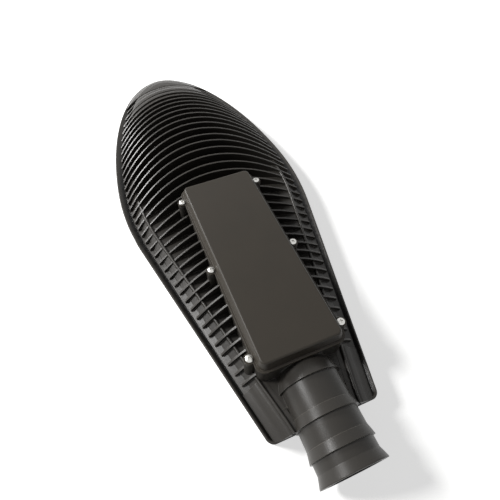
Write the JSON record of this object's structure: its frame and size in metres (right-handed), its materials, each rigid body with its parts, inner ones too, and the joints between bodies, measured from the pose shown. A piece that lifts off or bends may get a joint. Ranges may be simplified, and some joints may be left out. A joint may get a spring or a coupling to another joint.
{
  "type": "led street light head",
  "caption": "Leaf-shaped die-cast LED street light head with bowed cooling fins, a long driver box lid, a ringed pole socket and two domed lenses underneath.",
  "frame": {"origin": "on the axis of the pole socket, at its mouth", "axes": "+Y along the socket axis to the tip of the head, +Z out of the finned back, +X across the head"},
  "size_m": [0.241, 0.656, 0.0734],
  "materials": {
    "cast_housing": "die-cast aluminium, fine-textured charcoal powder coat",
    "cast_cover": "die-cast aluminium, fine-textured grey-brown powder coat",
    "cast_ring": "die-cast aluminium, fine-textured charcoal powder coat",
    "seal_rubber": "moulded black rubber",
    "lens_seal": "moulded grey silicone",
    "stainless_screws": "cold-headed stainless steel, tumbled bright",
    "zinc_screws": "bright zinc plate",
    "brass_screw": "plain brass",
    "driver_case": "satin extruded aluminium case",
    "terminal_plastic": "moulded polyamide",
    "thermal_pad": "silicone heat pad",
    "led_chip": "ceramic plate with yellow phosphor",
    "holder_plastic": "moulded white polycarbonate",
    "reflector": "metallised bright",
    "lens_glass": "pressed borosilicate glass"
  },
  "bodies": {
    "root": {"housing": "cast_housing", "cover_gasket": "seal_rubber", "driver_cover": "cast_cover", "cover_screws": "stainless_screws", "led_driver": "driver_case", "driver_screws": "zinc_screws", "terminal_block": "terminal_plastic", "terminal_screws": "zinc_screws", "supply_grommet": "seal_rubber", "earth_screw": "brass_screw", "thermal_pad_rear": "thermal_pad", "led_module_rear": "led_chip", "cob_holder_rear": "holder_plastic", "reflector_rear": "reflector", "lens_gasket_rear": "lens_seal", "lens_rear": "lens_glass", "lens_ring_rear": "cast_ring", "thermal_pad_front": "thermal_pad", "led_module_front": "led_chip", "cob_holder_front": "holder_plastic", "reflector_front": "reflector", "lens_gasket_front": "lens_seal", "lens_front": "lens_glass", "lens_ring_front": "cast_ring", "holder_screws": "zinc_screws", "lens_ring_screws": "stainless_screws", "socket_set_screws": "zinc_screws"}
  },
  "joints": []
}
